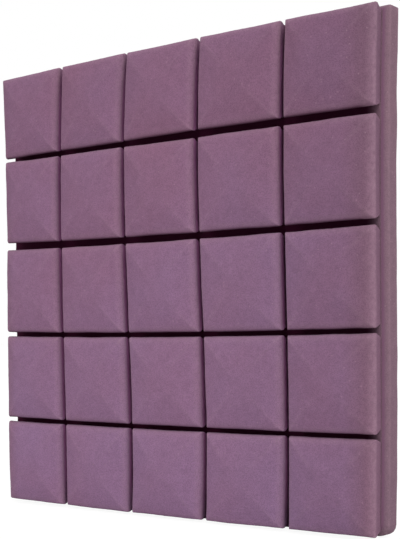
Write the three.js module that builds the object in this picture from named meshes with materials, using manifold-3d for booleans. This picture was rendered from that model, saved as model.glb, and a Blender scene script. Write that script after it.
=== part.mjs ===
// Acoustic foam tile: a square of soft grey-purple foam, glued by its flat back to a wall.
// Two sets of slots, cut right through at right angles, leave a grid of mushroom-shaped blocks.
// Each block has a low crown of four curved facets, round shoulders, and sides that draw in to
// a waist, where it stands on the base. Behind the narrow mouths of the slots lie wider
// channels with flat floors, which catch the sound.
//
// Millimetres. X runs across the tile, Z up, and the front looks along -Y.
// The origin is the centre of the back, on the wall.
import * as THREE from 'three';
import { mergeVertices } from 'three/addons/utils/BufferGeometryUtils.js';
import Module from 'manifold-3d';

const wasm = await Module();
wasm.setup();

// Driving dimensions

const columns = 5;
const rows = 5;
const blockPitch = 100; // from slot to slot, the same both ways
const tileDepth = 50; // from the wall to the tips of the crowns
const baseThickness = 22; // foam behind the floors of the channels
const edgeThickness = 15; // square edge of the base, which meets the next tile
const edgeSlant = 4.5; // how far the base draws in between that edge and its front
const slotMouth = 5.5; // gap between the caps of two neighbours
const crownRise = 13; // from the widest line of a cap to its tip
const shoulderRadius = 7.5; // where the crown turns into the side
const cornerRadius = 5; // upright corners of a cap, seen from the front
const undercut = 4; // how far the waist draws in from the side of the cap

// Clearances

const cutOverrun = 10; // how far a cutting solid reaches past what it cuts

// Smoothness of the curves

const crownSteps = 12;
const shoulderSteps = 6;
const cornerSteps = 4;

// Sizes that follow

const tileWidth = columns * blockPitch;
const tileHeight = rows * blockPitch;
const blockHeight = tileDepth - baseThickness; // from the waist to the tip
const capHalf = (blockPitch - slotMouth) / 2;
const waistHalf = capHalf - undercut;

const foam = new THREE.MeshStandardMaterial({ color: 0x86627c, roughness: 0.95, metalness: 0 });

// A closed mesh as a solid that can be joined and cut

function toSolid(geometry) {
  const bare = geometry.clone();
  bare.deleteAttribute('normal');
  bare.deleteAttribute('uv');
  const merged = mergeVertices(bare);
  const vertProperties = new Float32Array(merged.attributes.position.array);
  const triVerts = new Uint32Array(merged.index.array);
  return new wasm.Manifold(new wasm.Mesh({ numProp: 3, vertProperties, triVerts }));
}

function toGeometry(solid) {
  const { numProp, vertProperties, triVerts } = solid.getMesh();
  const geometry = new THREE.BufferGeometry();
  geometry.setAttribute('position', new THREE.BufferAttribute(vertProperties, numProp));
  geometry.setIndex(new THREE.BufferAttribute(triVerts, 1));
  geometry.computeVertexNormals();
  return geometry;
}

// The contour blade runs straight through the foam, so each pass leaves a section that is
// extruded along its path. The sections are drawn with the wall at the bottom.

function extrudeUpwards(section, length) {
  const pass = new THREE.ExtrudeGeometry(section, { depth: length, bevelEnabled: false });
  pass.translate(0, 0, -length / 2);
  return pass.rotateZ(Math.PI);
}

// The second pass is the same with the tile turned a quarter round.

function extrudeAcross(section, length) {
  return extrudeUpwards(section, length).rotateY(Math.PI / 2);
}

function cutBothWays(acrossSection, acrossLength, upSection, upLength) {
  const firstPass = toSolid(extrudeUpwards(upSection, upLength + 2 * cutOverrun));
  const secondPass = toSolid(extrudeAcross(acrossSection, acrossLength + 2 * cutOverrun));
  return firstPass.intersect(secondPass);
}

// Block

// The section of a block: waist, straight undercut, and a cap whose shoulders blend into
// one wide arc over the crown. The wide arc's radius follows from its touching both
// shoulder arcs and the tip.

function blockSection() {
  const shoulderX = capHalf - shoulderRadius;
  const shoulderZ = blockHeight - crownRise;
  const crownRadius =
    (shoulderX ** 2 + crownRise ** 2 - shoulderRadius ** 2) / (2 * (crownRise - shoulderRadius));
  const crownAngle = Math.asin(shoulderX / (crownRadius - shoulderRadius));
  const up = Math.PI / 2;

  const path = new THREE.Path();
  path.moveTo(waistHalf, 0);
  path.lineTo(capHalf, shoulderZ);
  const points = path.getPoints();
  const addArc = (x, z, radius, from, to, steps) => {
    for (let i = 1; i <= steps; i++) {
      const angle = from + ((to - from) * i) / steps;
      points.push(new THREE.Vector2(x + radius * Math.cos(angle), z + radius * Math.sin(angle)));
    }
  };
  addArc(shoulderX, shoulderZ, shoulderRadius, 0, up - crownAngle, shoulderSteps);
  addArc(0, blockHeight - crownRadius, crownRadius, up - crownAngle, up + crownAngle, crownSteps);
  addArc(-shoulderX, shoulderZ, shoulderRadius, up + crownAngle, Math.PI, shoulderSteps);
  points.push(new THREE.Vector2(-waistHalf, 0));
  return new THREE.Shape(points);
}

// The outline of a cap from the front, with its blunt corners

function capOutline() {
  const outline = new THREE.Shape();
  const inner = capHalf - cornerRadius;
  for (let i = 0; i < 4; i++) {
    const turn = (i * Math.PI) / 2;
    const x = inner * (Math.cos(turn) - Math.sin(turn));
    const z = inner * (Math.sin(turn) + Math.cos(turn));
    outline.absarc(x, z, cornerRadius, turn, turn + Math.PI / 2, false);
  }
  return outline;
}

function blockGeometry() {
  const section = blockSection();
  const block = cutBothWays(section, 2 * capHalf, section, 2 * capHalf);
  const trim = new THREE.ExtrudeGeometry(capOutline(), {
    depth: blockHeight + 2 * cutOverrun,
    bevelEnabled: false,
    curveSegments: cornerSteps,
  });
  trim.translate(0, 0, -cutOverrun);
  trim.rotateX(Math.PI / 2);
  return toGeometry(block.intersect(toSolid(trim)));
}

// Base

// The section of the base: a slab whose front edges are cut back at a slant, so that two
// tiles side by side touch only along their square edges.

function baseSection(halfWidth) {
  const frontHalf = halfWidth - edgeSlant;
  return new THREE.Shape([
    new THREE.Vector2(-halfWidth, 0),
    new THREE.Vector2(halfWidth, 0),
    new THREE.Vector2(halfWidth, edgeThickness),
    new THREE.Vector2(frontHalf, baseThickness),
    new THREE.Vector2(-frontHalf, baseThickness),
    new THREE.Vector2(-halfWidth, edgeThickness),
  ]);
}

function baseGeometry() {
  const acrossSection = baseSection(tileHeight / 2);
  const upSection = baseSection(tileWidth / 2);
  return toGeometry(cutBothWays(acrossSection, tileWidth, upSection, tileHeight));
}

// Tile

const tile = new THREE.Group();

function centreOf(index, count) {
  return (index - (count - 1) / 2) * blockPitch;
}

function addPiece(name, geometry, x, y, z) {
  const piece = new THREE.Mesh(geometry, foam.clone());
  piece.name = name;
  piece.position.set(x, y, z);
  tile.add(piece);
}

addPiece('base_slab', baseGeometry(), 0, 0, 0);

const block = blockGeometry();
for (let row = 0; row < rows; row++) {
  for (let column = 0; column < columns; column++) {
    const name = `block_row${row + 1}_column${column + 1}`;
    addPiece(name, block, centreOf(column, columns), -baseThickness, -centreOf(row, rows));
  }
}

export default tile;
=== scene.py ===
# %% [markdown]
# # An acoustic foam tile
#
# The object is a square tile of soft, open-celled foam that is glued to a wall to soak up
# sound. A blade has cut two sets of slots through its front, at right angles, and left five
# rows of five mushroom-shaped blocks on one thin base.
#
# This file dresses the imported model of the tile. The imported solids are stiff and even. The
# pieces made here take their places, and add what foam really looks like: cells, slightly uneven
# slots, soft edges with pale dust and uneven dye, and also painted shade and painted highlights.

# %% Start from the imported model
import math

import bmesh
import bpy
import numpy as np
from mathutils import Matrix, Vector


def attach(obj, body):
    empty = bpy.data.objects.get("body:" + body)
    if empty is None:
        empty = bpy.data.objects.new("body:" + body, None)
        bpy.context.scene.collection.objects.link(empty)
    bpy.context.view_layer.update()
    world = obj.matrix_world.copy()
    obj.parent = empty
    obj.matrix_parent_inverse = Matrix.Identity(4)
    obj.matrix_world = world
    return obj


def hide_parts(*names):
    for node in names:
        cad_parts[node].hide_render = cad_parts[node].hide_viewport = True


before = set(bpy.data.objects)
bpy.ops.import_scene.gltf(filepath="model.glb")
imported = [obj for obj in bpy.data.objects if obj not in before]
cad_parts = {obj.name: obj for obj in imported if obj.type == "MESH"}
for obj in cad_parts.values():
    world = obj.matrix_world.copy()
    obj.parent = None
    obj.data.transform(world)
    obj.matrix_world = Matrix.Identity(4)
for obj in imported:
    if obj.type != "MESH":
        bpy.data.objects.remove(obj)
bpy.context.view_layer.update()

# %% [markdown]
# ## Camera
#
# The tile is seen from its front right, from just below its middle, through a longish lens.
# The lens is shifted up, as in a crop of a larger picture, which keeps the upright edges of the
# tile nearly upright. A camera turned upwards would frame the tile as well, but then these
# edges would lean. The values come from a least-squares fit to edges measured in the photo.

# %% Camera
sensor_width = 36.0  # millimetres, as is the lens
lens_length = 80.75
frame_lift = 0.201  # how far the frame is shifted up, as a share of its longer side
view_reach = 50.0  # metres, past which nothing is drawn
camera_place = (0.8194, -1.0172, -0.0530)
camera_turns = (87.88, 0.74, 38.33)  # degrees about X, Y and Z

camera_data = bpy.data.cameras.new("tile_camera")
camera_data.sensor_width = sensor_width
camera_data.lens = lens_length
camera_data.shift_y = frame_lift
camera_data.clip_end = view_reach
camera = bpy.data.objects.new("tile_camera", camera_data)
camera.location = camera_place
camera.rotation_euler = [math.radians(turn) for turn in camera_turns]
bpy.context.scene.collection.objects.link(camera)
bpy.context.scene.camera = camera
print("camera stands", round(camera.location.length, 2), "m from the middle of the tile's back")

# %% [markdown]
# ## Hands and tools
#
# Every piece is modelled as by hand: pick something, then use a tool on it. These helpers do
# the picking. `only` makes one object the chosen one, `pick` and `pick_edges` select points or
# edges in edit mode by their place, and `use_modifier` adds a modifier and applies it straight
# away.


# %% Hands and tools
def only(piece):
    bpy.ops.object.select_all(action="DESELECT")
    piece.select_set(True)
    bpy.context.view_layer.objects.active = piece


def pick(piece, wanted):
    """Selects the points, and what lies between them, where wanted(place) is true."""
    bpy.ops.mesh.select_mode(type="VERT")
    bpy.ops.mesh.select_all(action="DESELECT")
    mesh = bmesh.from_edit_mesh(piece.data)
    for point in mesh.verts:
        point.select = bool(wanted(point.co))
    mesh.select_flush(True)
    bmesh.update_edit_mesh(piece.data)


def pick_edges(piece, wanted):
    """Selects the edges where wanted(one end, other end) is true."""
    bpy.ops.mesh.select_mode(type="EDGE")
    bpy.ops.mesh.select_all(action="DESELECT")
    mesh = bmesh.from_edit_mesh(piece.data)
    for edge in mesh.edges:
        edge.select = bool(wanted(edge.verts[0].co, edge.verts[1].co))
    bmesh.update_edit_mesh(piece.data)


def use_modifier(piece, kind, **settings):
    only(piece)
    modifier = piece.modifiers.new(kind.lower(), kind)
    for name, value in settings.items():
        setattr(modifier, name, value)
    bpy.ops.object.modifier_apply(modifier=modifier.name)


def settle_in_place(piece):
    """Puts the object at the origin, unturned and unscaled, with its place in its mesh."""
    only(piece)
    bpy.ops.object.transform_apply(location=True, rotation=True, scale=True)


def points_of(piece):
    places = np.empty(len(piece.data.vertices) * 3)
    piece.data.vertices.foreach_get("co", places)
    return places.reshape(-1, 3)


def count_faces(piece):
    return len(piece.data.polygons)


# %% [markdown]
# ## One pass of the blade
#
# A contour blade is a thin wire or band that is pulled straight through the foam while it
# follows a line. What it leaves has the same section all along. The section of a block is a
# narrow waist, straight sides that spread towards the front, round shoulders, and one wide arc
# over the crown.
#
# The section could be typed in as a list of points. Here a single straight edge is spun about
# the centre of each arc in turn, as on a lathe, then drawn down to the waist. That makes the
# left half of the section, and the right half is its mirror image. The arcs meet without a
# kink, as they do in foam.

# %% One pass of the blade
blade_pitch = 0.100  # from slot to slot; this and all other lengths are in metres
tile_depth = 0.050
base_thickness = 0.022
slot_mouth = 0.0055
crown_rise = 0.013
shoulder_radius = 0.0075
undercut = 0.004
pass_length = 0.13
crown_strips = 26  # strips of faces over half a crown
shoulder_strips = 6
hair = 1e-5  # points closer than this count as one

waist_y = -base_thickness
shoulder_y = -(tile_depth - crown_rise)
cap_half = (blade_pitch - slot_mouth) / 2
shoulder_x = cap_half - shoulder_radius
crown_radius = (shoulder_x**2 + crown_rise**2 - shoulder_radius**2) / (
    2 * (crown_rise - shoulder_radius)
)
crown_angle = math.asin(shoulder_x / (crown_radius - shoulder_radius))


def blade_pass(name, length):
    """A bar with the section of a block, as long as the pass, upright along Z."""
    bpy.ops.mesh.primitive_plane_add(
        size=length, location=(0, -tile_depth, 0), rotation=(0, math.pi / 2, 0)
    )
    bar = bpy.context.object
    bar.name = name
    settle_in_place(bar)
    bpy.ops.object.mode_set(mode="EDIT")
    bpy.ops.mesh.select_all(action="SELECT")
    bpy.ops.transform.resize(value=(1, 0, 1), center_override=(0, -tile_depth, 0))
    bpy.ops.mesh.remove_doubles(threshold=hair)
    bpy.ops.mesh.select_all(action="SELECT")
    bpy.ops.mesh.spin(
        steps=crown_strips,
        angle=crown_angle,
        center=(0, crown_radius - tile_depth, 0),
        axis=(0, 0, 1),
    )
    bpy.ops.mesh.spin(
        steps=shoulder_strips,
        angle=math.pi / 2 - crown_angle,
        center=(-shoulder_x, shoulder_y, 0),
        axis=(0, 0, 1),
    )
    bpy.ops.mesh.extrude_edges_move(
        TRANSFORM_OT_translate={"value": (undercut, waist_y - shoulder_y, 0)}
    )
    bpy.ops.object.mode_set(mode="OBJECT")
    use_modifier(bar, "MIRROR", merge_threshold=hair)
    bpy.ops.object.mode_set(mode="EDIT")
    pick(bar, lambda place: place.y > waist_y - hair)
    bpy.ops.mesh.edge_face_add()
    bpy.ops.mesh.select_all(action="SELECT")
    bpy.ops.mesh.fill_holes(sides=0)
    bpy.ops.mesh.normals_make_consistent(inside=False)
    bpy.ops.object.mode_set(mode="OBJECT")
    return bar


upright_bar = blade_pass("upright_bar", pass_length)
level_bar = blade_pass("level_bar", pass_length)
micrometre_digits = 6
half_lines = sorted(
    {round(x, micrometre_digits) for x in points_of(upright_bar)[:, 0] if x > hair}
)
print("half a section:", len(half_lines), "lines; bar:", count_faces(upright_bar), "faces")

# %% [markdown]
# ## One block
#
# The second pass is the first one turned a quarter round. A block is what both passes leave
# standing, so it is where the two bars overlap, and a Boolean finds that. Its four curved
# facets and the ridges between them come by themselves. A third bar with bevelled edges trims
# the corners of the cap. On the right, where the blade leaves the foam, it tears them a little
# blunter than on the left.
#
# Long thin faces can't bend or take fine bumps. The block is therefore sliced both ways along
# the lines of its own section, which gives small, nearly square faces whose corners lie on the
# ridges. Then its creases are eased a little, because foam can't hold a knife-sharp one.

# %% One block
left_corner_radius = 0.001
right_corner_radius = 0.0014
corner_segments = 4
undercut_rows = 8  # rows of faces between the waist and the shoulder
sliver = 5e-5  # points closer than this are welded after the slicing
easing = 0.4  # how far a point moves towards the middle of its neighbours
seat_depth = 0.0006  # how far the waist is let into the sheet behind it


def slice_across(places, direction):
    for place in places:
        bpy.ops.mesh.bisect(
            plane_co=[place * part for part in direction], plane_no=direction, threshold=hair
        )
        bpy.ops.mesh.select_all(action="SELECT")


def keep_overlap(piece, other):
    use_modifier(piece, "BOOLEAN", object=other, operation="INTERSECT", solver="EXACT")
    bpy.data.objects.remove(other)


only(level_bar)
bpy.ops.transform.rotate(value=math.pi / 2, orient_axis="Y", center_override=(0, 0, 0))
settle_in_place(level_bar)
model_block = upright_bar
model_block.name = "model_block"
keep_overlap(model_block, level_bar)

bpy.ops.mesh.primitive_cube_add(
    size=1, location=(0, -tile_depth / 2, 0), scale=(2 * cap_half, 2 * tile_depth, 2 * cap_half)
)
outline_bar = bpy.context.object
settle_in_place(outline_bar)
bpy.ops.object.mode_set(mode="EDIT")
for side, radius in ((-1, left_corner_radius), (1, right_corner_radius)):
    pick_edges(
        outline_bar,
        lambda a, b: abs(a.y - b.y) > tile_depth and min(a.x * side, b.x * side) > 0,
    )
    bpy.ops.mesh.bevel(offset=radius, segments=corner_segments, affect="EDGES")
bpy.ops.object.mode_set(mode="OBJECT")
keep_overlap(model_block, outline_bar)

only(model_block)
bpy.ops.object.mode_set(mode="EDIT")
bpy.ops.mesh.select_all(action="SELECT")
both_sides = [-x for x in reversed(half_lines)] + [0.0] + half_lines
slice_across(both_sides, (1, 0, 0))
slice_across(both_sides, (0, 0, 1))
slice_across(np.linspace(waist_y, shoulder_y, undercut_rows + 1)[1:], (0, 1, 0))
bpy.ops.mesh.remove_doubles(threshold=sliver)
pick(model_block, lambda place: place.y < waist_y - hair)
bpy.ops.mesh.vertices_smooth(factor=easing, repeat=1)
bpy.ops.mesh.select_all(action="SELECT")
bpy.ops.mesh.normals_make_consistent(inside=False)
pick(model_block, lambda place: place.y > waist_y - hair)
bpy.ops.transform.translate(value=(0, seat_depth, 0))
bpy.ops.object.mode_set(mode="OBJECT")
print("block:", count_faces(model_block), "faces")

# %% [markdown]
# ## The base
#
# The base is the sheet that the blades never reach. Its flat front makes the floors of the
# channels, and is hidden under the blocks elsewhere. Round the outside the front is cut back at
# a slant, which leaves a square edge of 15 mm to butt against the next tile.
#
# It starts as a slab as thick as that edge. Its front face is drawn forwards and made smaller,
# which gives the slants with their mitred corners. The corners of the outline are bevelled, the
# lower right one most, because it has been knocked. Slices then make the faces small enough to
# bend.

# %% The base
rows = columns = 5
tile_side = rows * blade_pitch
half_tile = tile_side / 2
edge_thickness = 0.015
edge_slant = 0.0045  # how far the front draws in from the square edge
knocked_corner = 0.010
corner_wear = 0.0012
edge_softness = 0.0006
edge_segments = 2
slices = 50  # one for every 10 mm
slant_rows = 6
edge_slices = (0.0135, 0.010, 0.005)  # heights above the wall

bpy.ops.mesh.primitive_cube_add(
    size=1, location=(0, -edge_thickness / 2, 0), scale=(tile_side, edge_thickness, tile_side)
)
model_base = bpy.context.object
model_base.name = "foam_base"
settle_in_place(model_base)
bpy.ops.object.mode_set(mode="EDIT")
pick(model_base, lambda place: place.y < -edge_thickness / 2)
bpy.ops.mesh.extrude_region_move(
    TRANSFORM_OT_translate={"value": (0, edge_thickness - base_thickness, 0)}
)
shrink = 1 - edge_slant / half_tile
bpy.ops.transform.resize(value=(shrink, 1, shrink), center_override=(0, 0, 0))


def leads_forwards(a, b):
    """True for an edge between two sides of the outline, false for one that runs round it."""
    return abs(a.y - b.y) > hair


def is_lower_right(place):
    return place.x > 0 and place.z < 0


for radius, knocked in ((knocked_corner, True), (corner_wear, False)):
    pick_edges(model_base, lambda a, b: leads_forwards(a, b) and is_lower_right(a) == knocked)
    bpy.ops.mesh.bevel(offset=radius, segments=corner_segments, affect="EDGES")
pick_edges(model_base, lambda a, b: not leads_forwards(a, b))
bpy.ops.mesh.bevel(offset=edge_softness, segments=edge_segments, affect="EDGES")

fine_lines = np.linspace(-half_tile, half_tile, slices + 1)[1:-1]
bpy.ops.mesh.select_all(action="SELECT")
slice_across(fine_lines, (1, 0, 0))
slice_across(fine_lines, (0, 0, 1))
slice_across(np.linspace(-base_thickness, -edge_thickness, slant_rows + 1)[1:-1], (0, 1, 0))
slice_across([-height for height in edge_slices], (0, 1, 0))
bpy.ops.mesh.normals_make_consistent(inside=False)
bpy.ops.object.mode_set(mode="OBJECT")
use_modifier(model_base, "SUBSURF", subdivision_type="SIMPLE", levels=1, render_levels=1)
print("base:", count_faces(model_base), "faces")

# %% [markdown]
# ## Five rows of five
#
# The block is modelled once and copied. Each copy has a mesh of its own, because each will bend
# in its own way. Linked copies or an Array modifier would save memory, but would keep all the
# blocks alike. Row 1 is the top row, and column 1 is the left one.


# %% Five rows of five
def centre_of(index):
    return (index - (rows - 1) / 2) * blade_pitch


blocks = {}
for row in range(rows):
    for column in range(columns):
        only(model_block)
        bpy.ops.object.duplicate(linked=False)
        block = bpy.context.object
        block.name = f"foam_block_row{row + 1}_column{column + 1}"
        bpy.ops.transform.translate(value=(centre_of(column), 0, -centre_of(row)))
        settle_in_place(block)
        blocks[block.name] = block
bpy.data.objects.remove(model_block)
pieces = [model_base, *blocks.values()]
print("pieces:", len(pieces))

# %% [markdown]
# ## Painted shade in the channels
#
# The channels behind the caps are painted dark, as painted shade that stands in for the shadow
# and occlusion inside them. The groove that runs round the tile, between its outer blocks and
# the slant of the base, gets part of it.
#
# How much painted shade a point gets follows from its place on the even tile, so it is worked
# out before the slots drift. On the right, where more light gets into the channels, the painted
# shade starts further in. Two values are stored with the mesh. The one named shaded is for the
# upright sides just behind the lips, in the lamp's shadow: there a livelier violet is painted on
# the blocks as painted bounce light, and a darker colour on the base as painted shade in the
# groove. The other value is for the painted shade further in. Ambient occlusion in the shader
# would be easier, but an exported model can't hold it.

# %% Painted shade in the channels
# depths where the painted shadow tone behind the lips and the painted shade further in begin and
# are full
shade_start, shade_full = 0.012, 0.015  # depths behind the tips of the crowns
dark_start, dark_full = 0.016, 0.026
level_sooner = 0.006  # how much sooner it gets dark in the slots that run across
underside_sooner = 0.006  # and how much more so on the undersides of the caps
painted_shade_edge, painted_shade_reach = 0.9 * edge_slant, 0.001  # in from the sides of the tile
unshaded_end = 0.008  # how far in from the tile's right side the painted shade is gone, as light gets in there
unshaded_reach = 0.011
open_reach = 0.045  # over which the painted bounce light fades out at the open ends of the slots, where light reaches
wall_painted_shade = 0.12  # of the undercut sides of the outer blocks, in the groove
floor_shade = 0.1  # of the strip of floor in the groove, which faces the light
front_power = 4  # how soon the front of the base loses its painted shade where it turns away
groove_start, groove_full = 0.016, 0.028
groove_end, groove_clear = 0.0285, 0.0325


def smooth_step(share):
    share = np.clip(share, 0, 1)
    return share * share * (3 - 2 * share)


def normals_of(piece):
    normals = np.empty(len(piece.data.vertices) * 3)
    piece.data.vertices.foreach_get("normal", normals)
    return normals.reshape(-1, 3)


def keep_values(piece, name, values):
    """Keeps one value for each point with the mesh, under a name that a material can read."""
    piece.data.attributes.new(name, "FLOAT", "POINT").data.foreach_set("value", values)


def mark_painted_shade(piece):
    places, normals = points_of(piece), normals_of(piece)
    facing_up, facing_front = normals[:, 2], -normals[:, 1]
    depth = tile_depth + places[:, 1]
    from_side = half_tile - np.abs(places[:, (0, 2)]).max(axis=1)
    from_right = half_tile - places[:, 0]
    inside = smooth_step((from_side - painted_shade_edge) / painted_shade_reach)
    inside *= smooth_step((from_right - unshaded_end) / unshaded_reach)

    # 1 where a surface faces up or down by less than a third, and 0 from two thirds on
    upright = smooth_step(2 - 3 * np.abs(facing_up))
    # painted shadow tone just behind the lips, where the lamp doesn't reach: painted bounce light
    # on the blocks, painted shade on the base
    shaded = smooth_step((depth - shade_start) / (shade_full - shade_start)) * upright * inside
    shaded *= smooth_step(from_side / open_reach)

    # painted shade further in: sooner on faces that look up or down, sooner still under the caps
    start = dark_start - level_sooner * np.abs(facing_up)
    start -= underside_sooner * np.clip(-facing_up, 0, 1)
    painted_shade = smooth_step((depth - start) / (dark_full - dark_start)) * inside

    # painted shade in the groove round the tile
    into_groove = smooth_step((depth - groove_start) / (groove_full - groove_start))
    into_groove *= smooth_step((groove_clear - depth) / (groove_clear - groove_end))
    if piece is model_base:  # its front gets the painted shade, and its back and edges don't
        front_share = np.clip(facing_front, 0, 1) ** front_power
        painted_shade *= front_share
        in_groove = into_groove * (1 - (1 - floor_shade) * front_share)
        shaded = np.maximum(shaded * front_share, in_groove)
    else:
        painted_shade = np.maximum(painted_shade, into_groove * wall_painted_shade)
    keep_values(piece, "shaded", shaded)
    keep_values(piece, "painted_shade", painted_shade)
    return float(painted_shade.mean())


base_painted_shade, *block_painted_shade = [mark_painted_shade(piece) for piece in pieces]
print("mean shelter: base", round(base_painted_shade, 2), "blocks", round(min(block_painted_shade), 2),
      "to", round(max(block_painted_shade), 2))

# %% [markdown]
# ## Uneven slots
#
# Soft foam gives way under the blade, so real slots are never quite straight or evenly spaced.
# Here they wander by a few millimetres, and some gape where their lips have sprung back. For
# the two sides of each column and of each row, a few readings in millimetres say how far that
# side has drifted at some places along it, and a smooth curve joins them. What lies between the
# two sides is carried along in proportion. The readings weren't chosen by hand: scratch scripts
# measured them in the photo, through the camera above, and later against renders. Another
# photo would need its own.
#
# The base was sawn to size by another tool. It has only drifted at its edges, so the grid of
# blocks doesn't sit quite square on it. A lattice could do this too, but its smooth curves
# would blur one slot into the next.

# %% Uneven slots
millimetres = 1000  # in a metre
reading_heights = (0.22, 0.09, -0.06, -0.20)
column_drift_to_right = (
    (6.8, 8.7, 6.3, 5.4),  # left side of the first column
    (-0.2, -4.7, -4.1, -2.4),  # its right side
    (1.6, -2.8, -1.9, -0.5),  # left side of the second column, and so on
    (-2.8, -8.8, -4.9, -2.6),
    (-2.6, -7.2, -3.2, -1.2),
    (-3.9, -7.1, -2.1, -0.6),
    (-3.2, -6.1, -1.2, 0.3),
    (1.5, -0.8, 1.5, 1.7),
    (1.8, -0.4, 2.0, 2.4),
    (8.2, 6.0, 5.4, 4.3),
)
base_drift_to_right = ((3.6, 1.8, -0.4, -2.2), (6.9, 4.7, 4.2, 3.0))
reading_places = (-0.21, 0.0, 0.22)
row_drift_upwards = (
    (1.7, 0.4, 0.8),  # under side of the bottom row
    (-1.0, -2.4, -1.6),  # its upper side
    (-2.3, -3.5, -2.6),  # under side of the next row, and so on
    (-1.7, -3.9, -2.7),
    (-2.3, -4.5, -3.5),
    (-0.6, -3.1, -2.5),
    (1.2, -1.9, -2.1),
    (2.0, 0.9, 0.0),
    (0.6, 1.9, 1.8),
    (-1.5, 0.8, 1.1),
)
base_drift_upwards = ((2.4, 0.5, 1.2), (-1.4, 0.6, 0.2))


def drift_between(lines, stations, across, along):
    """How far points have drifted, from the curves of the two sides that they lie between."""
    curves = np.array([
        np.polyval(np.polyfit(stations, line, len(stations) - 1), along) for line in lines
    ])
    cells = len(lines) // 2
    place = (across / tile_side + 0.5) * cells
    cell = np.clip(place.astype(int), 0, cells - 1)
    share = place - cell
    each = np.arange(len(along))
    one_side, other_side = curves[2 * cell, each], curves[2 * cell + 1, each]
    return (one_side * (1 - share) + other_side * share) / millimetres


def let_drift(piece, to_right, upwards):
    """Moves the points of a piece, and gives the longest move in metres."""
    places = points_of(piece)
    right, up = places[:, 0].copy(), places[:, 2].copy()
    places[:, 0] += drift_between(to_right, reading_heights, right, up)
    places[:, 2] += drift_between(upwards, reading_places, up, right)
    piece.data.vertices.foreach_set("co", places.ravel())
    piece.data.update()
    return np.abs(places[:, (0, 2)] - np.stack([right, up], 1)).max()


block_drift = max(
    let_drift(piece, column_drift_to_right, row_drift_upwards) for piece in blocks.values()
)
base_drift = let_drift(model_base, base_drift_to_right, base_drift_upwards)
print("largest drift in mm: blocks", round(block_drift * millimetres, 1),
      "base", round(base_drift * millimetres, 1))

# %% [markdown]
# ## Pale edges and painted highlights
#
# Where foam has an edge, more of its cells lie open and gather pale dust, and the ridges catch
# the light, so ridges and rims are painted paler: partly pale dust, partly painted highlight.
# The shader has to know where these edges are. Cycles can work that out as pointiness, but an
# exported model can't, so it is measured here on the mesh: a point is on an edge where it
# stands proud of its neighbours.
#
# Two lines get a painted highlight. One is the widest line of each cap, along its upper side,
# which faces the lamp, with more of it on the outer sides of the tile and none on undersides.
# The other is the corner in front of the square edge of the base. Both lines are found by how
# far they lie behind the tips of the crowns. All this is stored with the mesh under the name edge.

# %% Pale edges and painted highlights
edge_reach = 0.0002  # how proud a point stands on a fully pale edge
spread_rounds = 2  # how often a point shares what it has with its neighbours
rim_depth, rim_width = 0.0112, 0.0026  # widest line of a cap
corner_depth, corner_width = tile_depth - edge_thickness, 0.0018
plain_rim = 0.35  # how pale the rim is where it faces neither up nor the outer sides
side_highlight = 0.5  # how much of the rest the painted highlight adds on the outer sides
outer_start, outer_reach = 0.23, 0.01  # from the middle of the tile


def mean_of_neighbours(ends, values):
    """For each point, the mean of the values at the other ends of its edges."""
    total, near = np.zeros_like(values), np.zeros(len(values))
    for here, there in ((0, 1), (1, 0)):
        np.add.at(total, ends[:, here], values[ends[:, there]])
        np.add.at(near, ends[:, here], 1)
    return (total.T / near).T


def mark_edges(piece):
    ends = np.empty(len(piece.data.edges) * 2, int)
    piece.data.edges.foreach_get("vertices", ends)
    ends = ends.reshape(-1, 2)
    places, normals = points_of(piece), normals_of(piece)
    facing_up = normals[:, 2]
    proud = ((places - mean_of_neighbours(ends, places)) * normals).sum(1)
    for _ in range(spread_rounds):
        proud = (proud + mean_of_neighbours(ends, proud)) / 2

    line, width = rim_depth, rim_width
    if piece is model_base:
        line, width = corner_depth, corner_width
    # painted highlight on the rim: full where it faces up to the lamp, partly on the outer sides,
    # none on undersides
    rim = np.exp(-(((places[:, 1] + tile_depth - line) / width) ** 2))
    outer = smooth_step((np.abs(places[:, (0, 2)]).max(axis=1) - outer_start) / outer_reach)
    lit_top_and_sides = np.maximum(side_highlight * outer, facing_up)
    rim *= np.clip(plain_rim + (1 - plain_rim) * lit_top_and_sides, 0, 1)
    rim *= 1 - np.clip(-facing_up, 0, 1)
    edge = np.clip(proud / edge_reach + rim, 0, 1)
    keep_values(piece, "edge", edge)
    return edge


edge_values = np.concatenate([mark_edges(piece) for piece in pieces])
shown_percent = (50, 90, 99)
print("edge values that", shown_percent, "percent of all points stay under:",
      np.percentile(edge_values, shown_percent).round(3))

# %% [markdown]
# ## Swells and skin
#
# Cut foam isn't flat. It swells a little where it was less tight, over some centimetres, and
# the torn cells leave a fine rough skin. Both are real shape, so they are made with Displace
# modifiers over procedural noise. The noise is read by place, so no two blocks are alike.

# %% Swells and skin
swell_size, swell_height = 0.045, 0.0012
skin_size, skin_height = 0.004, 0.0003


def new_noise(name, size, detail):
    noise = bpy.data.textures.new(name, "CLOUDS")
    noise.noise_scale = size
    noise.noise_depth = detail
    return noise


swells = new_noise("foam_swell", swell_size, detail=1)
skin = new_noise("foam_skin", skin_size, detail=3)
for piece in pieces:
    for noise, height in ((swells, swell_height), (skin, skin_height)):
        use_modifier(piece, "DISPLACE", texture=noise, strength=height, mid_level=0.5)
    only(piece)
    bpy.ops.object.shade_smooth()
print("faces in all:", sum(count_faces(piece) for piece in pieces))

# %% [markdown]
# ## Nodes with less typing
#
# A finish is a chain of nodes. These helpers add a node and feed its sockets in one go, and the
# most used kinds have a helper each, which gives back the socket that comes out.

# %% Nodes with less typing
mix_sockets = {"FLOAT": (2, 3, 0), "RGBA": (6, 7, 2)}  # the two that go in, the one that comes out


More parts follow.
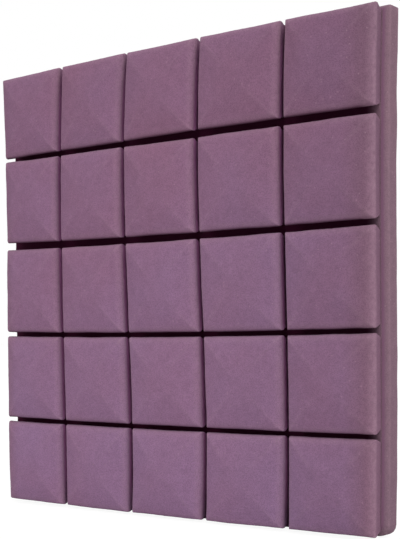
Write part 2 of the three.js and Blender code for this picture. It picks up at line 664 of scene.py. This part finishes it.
def node(tree, kind, feeds=None, **settings):
    """A node with its settings, and its sockets fed with values or with other sockets."""
    made = tree.nodes.new(kind)
    for name, value in settings.items():
        setattr(made, name, value)
    for socket, value in (feeds or {}).items():
        if isinstance(value, bpy.types.NodeSocket):
            tree.links.new(value, made.inputs[socket])
        else:
            made.inputs[socket].default_value = value
    return made


def number(tree, operation, *values, clamp=False):
    """What a Math node makes of one, two or three numbers."""
    feeds = dict(enumerate(values))
    return node(tree, "ShaderNodeMath", feeds, operation=operation, use_clamp=clamp).outputs[0]


def remap(tree, value, low, high, to_low=0.0, to_high=1.0):
    """Maps the range from low to high on another range, and holds the value at its ends."""
    feeds = {
        "Value": value, "From Min": low, "From Max": high, "To Min": to_low, "To Max": to_high,
    }
    return node(tree, "ShaderNodeMapRange", feeds).outputs[0]


def scaled(tree, vector, amount):
    """A place or a colour times a number."""
    feeds = {0: vector, "Scale": amount}
    return node(tree, "ShaderNodeVectorMath", feeds, operation="SCALE").outputs[0]


def mix(tree, share, first, second, kind="RGBA"):
    one_in, other_in, out = mix_sockets[kind]
    feeds = {"Factor": share, one_in: first, other_in: second}
    return node(tree, "ShaderNodeMix", feeds, data_type=kind).outputs[out]


def clouds(tree, place, scale, detail, roughness=0.5):
    """Soft noise, as a number named Fac and as a colour."""
    feeds = {"Vector": place, "Scale": scale, "Detail": detail, "Roughness": roughness}
    return node(tree, "ShaderNodeTexNoise", feeds).outputs


def new_group(name, inputs, outputs):
    tree = bpy.data.node_groups.new(name, "ShaderNodeTree")
    for in_out, sockets in (("INPUT", inputs), ("OUTPUT", outputs)):
        for socket_name, kind in sockets.items():
            tree.interface.new_socket(
                socket_name, in_out=in_out, socket_type="NodeSocket" + kind
            )
    return tree, tree.nodes.new("NodeGroupInput").outputs, tree.nodes.new("NodeGroupOutput")


# %% [markdown]
# ## Open cells
#
# Open-celled foam is full of pores of less than a millimetre. From some way off they blur to a
# soft speckle, but close by they are what tells foam from felt. Two sizes of Voronoi cells make
# them, on a grid that noise has bent, so that they never line up. Here and there a torn cell
# wall catches the light as a small pale fleck. What all foam surfaces share is a node group,
# and this is the first of three.

# %% Open cells
grid_bend = (0.9, 0.9, 0.9)  # how far noise bends the grid, in cells
small_smoothness = 0.35
small_pore_rim, small_pore_floor = 0.55, 0.15  # distances from a cell's middle, in cells
large_scale, large_pore_rim, large_pore_floor = 0.37, 0.34, 0.12
torn_scale, torn_chance = 0.36, 0.96  # a cell is torn where its random number is above this
fleck_rim, fleck_middle = 0.36, 0.18


def new_cells_group():
    """Pores of the given size in metres. Gives how deep in a pore a point lies, its height, and
    the few flecks where a torn cell wall catches the light."""
    tree, given, result = new_group(
        "open_cells",
        {"Place": "Vector", "Cell Size": "Float"},
        {"Pore": "Float", "Height": "Float", "Fleck": "Float"},
    )
    grid = scaled(tree, given["Place"], number(tree, "DIVIDE", 1.0, given["Cell Size"]))
    wobble = clouds(tree, grid, scale=0.7, detail=2.0)
    bent = node(
        tree, "ShaderNodeVectorMath", {0: wobble["Color"], 1: grid_bend, 2: grid},
        operation="MULTIPLY_ADD",
    ).outputs[0]

    small = node(
        tree, "ShaderNodeTexVoronoi",
        {"Vector": bent, "Scale": 1.0, "Smoothness": small_smoothness}, feature="SMOOTH_F1",
    ).outputs
    large = node(
        tree, "ShaderNodeTexVoronoi", {"Vector": bent, "Scale": large_scale}, feature="F1"
    ).outputs
    small_pore = remap(tree, small["Distance"], small_pore_rim, small_pore_floor)
    large_pore = remap(tree, large["Distance"], large_pore_rim, large_pore_floor)
    fewer = number(tree, "MULTIPLY", large_pore, wobble["Fac"])
    pore = number(tree, "MAXIMUM", small_pore, fewer, clamp=True)
    fibre = clouds(tree, grid, scale=2.6, detail=3.0, roughness=0.65)
    height = number(tree, "MULTIPLY_ADD", pore, -1.0, fibre["Fac"])

    torn = node(
        tree, "ShaderNodeTexVoronoi", {"Vector": bent, "Scale": torn_scale}, feature="F1"
    ).outputs
    chance = node(tree, "ShaderNodeSeparateColor", {"Color": torn["Color"]}).outputs["Red"]
    few = number(tree, "GREATER_THAN", chance, torn_chance)
    small_fleck = remap(tree, torn["Distance"], fleck_rim, fleck_middle)
    fleck = number(tree, "MULTIPLY", few, small_fleck, clamp=True)
    for name, value in (("Pore", pore), ("Height", height), ("Fleck", fleck)):
        tree.links.new(value, result.inputs[name])
    return tree


cells_group = new_cells_group()
print("open cells:", len(cells_group.nodes), "nodes")

# %% [markdown]
# ## Uneven dye and painted light
#
# Foam is dyed in the bun, and the dye takes unevenly, in soft clouds. The tile is also bluer
# near the foot. Towards the right it is painted darker, as painted shade where the light falls
# off, and towards the foot paler, as painted light where more light reaches it. The outer sides
# are greyer. How far the paler foot and the greyer sides show is set by one input, so the sawn
# base can share the group and leave them out.

# %% Uneven dye and painted light
cloud_scale, mottle_scale = 9.0, 110.0
noise_low, noise_high = 0.25, 0.75  # what noise mostly stays between
foot_cooler = 0.35  # how much more of the cool dye the foot has than the middle
cloud_least, cloud_most = 0.2, 0.8
mottle_dark, mottle_light = 0.93, 1.07
# painted shade: darker towards the right, where the light falls off
right_shade_start, right_shade_end, right_shade_dark = 0.06, 0.22, 0.86  # along X
# painted light: paler towards the foot, where more light reaches it
top_light, foot_light = 0.96, 1.13
# the outer sides are greyer
greying_start, greying_full = 0.222, 0.245  # either way along X


def new_dye_and_light_group():
    tree, given, result = new_group(
        "uneven_dye_and_painted_light",
        {
            "Place": "Vector", "Warm Dye": "Color", "Cool Dye": "Color", "Side Grey Dye": "Color",
            "Exposure": "Float",
        },
        {"Color": "Color"},
    )
    place = node(tree, "ShaderNodeSeparateXYZ", {"Vector": given["Place"]}).outputs
    cloud = clouds(tree, given["Place"], cloud_scale, detail=3.0)["Fac"]
    mottle = clouds(tree, given["Place"], mottle_scale, detail=4.0, roughness=0.6)["Fac"]
    lower = remap(tree, place["Z"], half_tile, -half_tile, -foot_cooler, foot_cooler)
    patches = remap(tree, cloud, noise_low, noise_high, cloud_least, cloud_most)
    cool = number(tree, "ADD", lower, patches, clamp=True)
    dyed = mix(tree, cool, given["Warm Dye"], given["Cool Dye"])

    from_middle = number(tree, "ABSOLUTE", place["X"])
    outer_side = remap(tree, from_middle, greying_start, greying_full)
    greyed = number(tree, "MULTIPLY", outer_side, given["Exposure"])
    side_grey = mix(tree, greyed, dyed, given["Side Grey Dye"])

    speckle = remap(tree, mottle, noise_low, noise_high, mottle_dark, mottle_light)
    # painted shade towards the right, and painted light towards the foot
    painted_right_shade = remap(tree, place["X"], right_shade_start, right_shade_end, 1.0, right_shade_dark)
    painted_foot_light = remap(tree, place["Z"], half_tile, -half_tile, top_light, foot_light)
    at_foot = mix(tree, given["Exposure"], 1.0, painted_foot_light, kind="FLOAT")
    light = number(tree, "MULTIPLY", number(tree, "MULTIPLY", speckle, painted_right_shade), at_foot)
    tree.links.new(scaled(tree, side_grey, light), result.inputs["Color"])
    return tree


dye_and_light_group = new_dye_and_light_group()
print("uneven dye:", len(dye_and_light_group.nodes), "nodes")

# %% [markdown]
# ## Patchy edges
#
# The values stored under the name edge run evenly along each ridge and rim. Real dust and
# highlights don't, so noise breaks them up before a finish uses them.

# %% Patchy edges
patch_scale = 240.0
patch_low, patch_high, patch_least = 0.3, 0.7, 0.35


def new_paled_edge_group():
    tree, given, result = new_group(
        "paled_edges", {"Place": "Vector", "Edge": "Float", "Amount": "Float"}, {"Mask": "Float"}
    )
    patchy = clouds(tree, given["Place"], patch_scale, detail=3.0, roughness=0.6)["Fac"]
    broken = remap(tree, patchy, patch_low, patch_high, patch_least)
    patchy_edge = number(tree, "MULTIPLY", given["Edge"], broken)
    mask = number(tree, "MULTIPLY", patchy_edge, given["Amount"], clamp=True)
    tree.links.new(mask, result.inputs["Mask"])
    return tree


paled_edge_group = new_paled_edge_group()
print("rubbed edges:", len(paled_edge_group.nodes), "nodes")

# %% [markdown]
# ## Two foam finishes
#
# The blocks have faces cut by the contour blade, which leaves the cells wide open. The base was
# sawn from the same bun of foam, and its sides are a little smoother and dustier. Both finishes
# come from one recipe. Pores are painted darker than the walls between them, as painted shade in
# the open cells. Edges are pale with dust, and ridges, rims and torn cells get a painted highlight
# in the same pale colour. Behind the lips of the slots, in the lamp's shadow, painted bounce light
# in a livelier violet lies on the blocks, and painted shade on the base; far inside the channels
# a dark colour is painted shade. Nothing shines, and a soft sheen stands for the fuzz of the cell
# walls.

# %% Two foam finishes
# pores are painted darker, as painted shade inside the open cells
wall_light, pore_dark = 1.07, 0.74  # of the dye, between pores and at the bottom of one
fleck_strength = 0.38
wall_roughness, pore_roughness = 0.9, 1.0
bump_strength = 0.6
foam_specular = 0.05
sheen, sheen_roughness = 0.05, 0.5


def srgb(*levels):
    """A colour as a screen shows it, 0 to 255, as the linear colour that a shader takes."""
    shares = [level / 255 for level in levels]
    return (*(c / 12.92 if c <= 0.04045 else ((c + 0.055) / 1.055) ** 2.4 for c in shares), 1.0)


sheen_tint = srgb(240, 212, 232)


def emptied_nodes(owner):
    """The node tree of a material or a world, with nothing in it yet."""
    owner.use_nodes = True
    owner.node_tree.nodes.clear()
    return owner.node_tree


def kept_values(tree, name):
    """The values that each point of the mesh keeps under this name."""
    return node(tree, "ShaderNodeAttribute", attribute_name=name).outputs["Fac"]


def new_foam(name, colours, cell_size, pore_depth, paled, foot_and_sides):
    material = bpy.data.materials.new(name)
    tree = emptied_nodes(material)
    place = node(tree, "ShaderNodeTexCoord").outputs["Object"]
    cells = node(
        tree, "ShaderNodeGroup", {"Place": place, "Cell Size": cell_size}, node_tree=cells_group
    ).outputs
    dye_and_light = node(
        tree, "ShaderNodeGroup",
        {
            "Place": place, "Warm Dye": colours["warm"], "Cool Dye": colours["cool"],
            "Side Grey Dye": colours["side_grey"], "Exposure": foot_and_sides,
        },
        node_tree=dye_and_light_group,
    ).outputs
    edge_paling = node(
        tree, "ShaderNodeGroup",
        {"Place": place, "Edge": kept_values(tree, "edge"), "Amount": paled},
        node_tree=paled_edge_group,
    ).outputs

    pored = scaled(
        tree, dye_and_light["Color"], remap(tree, cells["Pore"], 0.0, 1.0, wall_light, pore_dark)
    )
    flecks = number(tree, "MULTIPLY", cells["Fleck"], fleck_strength)
    # pale dust on edges, and painted highlight on ridges, rims and torn cells
    dust_and_highlight = mix(tree, number(tree, "MAXIMUM", edge_paling["Mask"], flecks), pored, colours["pale_dust_and_highlight"])
    # painted shadow tone behind the lips: painted bounce light on the blocks, painted shade on the
    # base
    behind_lips = mix(tree, kept_values(tree, "shaded"), dust_and_highlight, colours["painted_shadow_tone"])
    # painted shade far inside the channels
    colour = mix(tree, kept_values(tree, "painted_shade"), behind_lips, colours["deep"])
    bump = node(
        tree, "ShaderNodeBump",
        {"Strength": bump_strength, "Distance": pore_depth, "Height": cells["Height"]},
    )
    shader = node(
        tree, "ShaderNodeBsdfPrincipled",
        {
            "Base Color": colour,
            "Roughness": remap(tree, cells["Pore"], 0.0, 1.0, wall_roughness, pore_roughness),
            "Normal": bump.outputs[0],
            "Specular IOR Level": foam_specular,
            "Sheen Weight": sheen,
            "Sheen Roughness": sheen_roughness,
            "Sheen Tint": sheen_tint,
        },
    )
    node(tree, "ShaderNodeOutputMaterial", {"Surface": shader.outputs[0]})
    return material


block_colours = {
    "warm": srgb(142, 102, 127),  # mostly at the top of the tile
    "cool": srgb(141, 109, 141),  # mostly at its foot
    "side_grey": srgb(134, 99, 120),  # on its outer sides
    "pale_dust_and_highlight": srgb(174, 140, 156),  # pale dust on edges, and painted highlight on ridges, rims and torn cells
    "painted_shadow_tone": srgb(190, 122, 175),  # painted bounce light in the lamp's shadow, just behind the lips of the slots
    "deep": srgb(62, 16, 43),  # painted shade, far inside the channels
}
base_colours = {
    "warm": srgb(139, 108, 122),
    "cool": srgb(136, 107, 123),
    "side_grey": srgb(136, 107, 121),
    # pale dust on edges, and painted highlight on the corner line
    "pale_dust_and_highlight": srgb(178, 148, 158),
    # painted shade in the groove round the tile and on the channel floors
    "painted_shadow_tone": srgb(116, 80, 104),
    # painted shade far inside the channels
    "deep": srgb(62, 17, 42),
}
block_foam = new_foam(
    "cut_foam", block_colours, cell_size=0.0010, pore_depth=0.0004, paled=0.5, foot_and_sides=1.0
)
base_foam = new_foam(
    "sawn_foam", base_colours, cell_size=0.0009, pore_depth=0.0003, paled=0.3, foot_and_sides=0.0
)
for piece in pieces:
    piece.data.materials.clear()
    piece.data.materials.append(base_foam if piece is model_base else block_foam)
print("finishes:", block_foam.name, base_foam.name)

# %% [markdown]
# ## Pale studio
#
# The tile stands on a pale floor in even white light. A wide soft lamp hangs far off, high up
# on the right and a little to the front, so upper facets are lighter than lower ones. Looked at
# by the camera, the floor and the world are white, but the light they give is weaker than that.

# %% Pale studio
floor_size = 30
floor_colour, floor_roughness = (0.8, 0.8, 0.8, 1.0), 0.9
glow_share, glow_strength = 0.85, 1.1  # of the floor, where the camera looks at it
room_light, room_look = 0.74, 1.0  # the world as a light, and as what is seen
white = (1, 1, 1, 1)
lamp_place, lamp_width, lamp_power = (3.0, -1.9, 3.85), 2.5, 111


def add_floor(height):
    bpy.ops.mesh.primitive_plane_add(size=floor_size, location=(0, 0, height))
    floor = bpy.context.object
    floor.name = "studio_floor"
    paint = bpy.data.materials.new("floor_paint")
    tree = emptied_nodes(paint)
    seen = node(tree, "ShaderNodeLightPath").outputs["Is Camera Ray"]
    plain = node(
        tree, "ShaderNodeBsdfPrincipled",
        {"Base Color": floor_colour, "Roughness": floor_roughness},
    )
    glow = node(tree, "ShaderNodeEmission", {"Color": white, "Strength": glow_strength})
    both = node(
        tree, "ShaderNodeMixShader",
        {
            0: number(tree, "MULTIPLY", seen, glow_share),
            1: plain.outputs[0],
            2: glow.outputs[0],
        },
    )
    node(tree, "ShaderNodeOutputMaterial", {"Surface": both.outputs[0]})
    floor.data.materials.append(paint)
    return floor


def fill_room():
    world = bpy.data.worlds.new("pale_room")
    bpy.context.scene.world = world
    tree = emptied_nodes(world)
    path = node(tree, "ShaderNodeLightPath").outputs
    mirrored = number(tree, "MAXIMUM", path["Is Glossy Ray"], path["Is Transmission Ray"])
    seen = number(tree, "MAXIMUM", path["Is Camera Ray"], mirrored)
    strength = remap(tree, seen, 0.0, 1.0, room_light, room_look)
    sky = node(tree, "ShaderNodeBackground", {"Color": white, "Strength": strength})
    node(tree, "ShaderNodeOutputWorld", {"Surface": sky.outputs[0]})


def hang_lamp(name, place, width, power):
    """A square lamp that looks at the middle of the tile's back."""
    lamp = bpy.data.lights.new(name, "AREA")
    lamp.shape = "SQUARE"
    lamp.size = width
    lamp.energy = power
    holder = bpy.data.objects.new(name, lamp)
    holder.location = place
    holder.rotation_euler = (-Vector(place)).to_track_quat("-Z", "Y").to_euler()
    bpy.context.scene.collection.objects.link(holder)


foot = min(points_of(piece)[:, 2].min() for piece in pieces)
floor = add_floor(foot)
fill_room()
hang_lamp("top_lamp", lamp_place, lamp_width, lamp_power)
bpy.context.scene.view_settings.view_transform = "Standard"
print("floor at", round(foot, 4))

# %% [markdown]
# ## Pieces in place of the imported parts
#
# Each piece stands for one imported solid, which is hidden, and rides on the tile's only body.
# All of them are solid foam.

# %% Pieces in place of the imported parts
stands_for = {"foam_base": "base_slab"}
stands_for.update({name: name.removeprefix("foam_") for name in blocks})
for piece in pieces:
    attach(piece, "root")
    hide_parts(stands_for[piece.name])
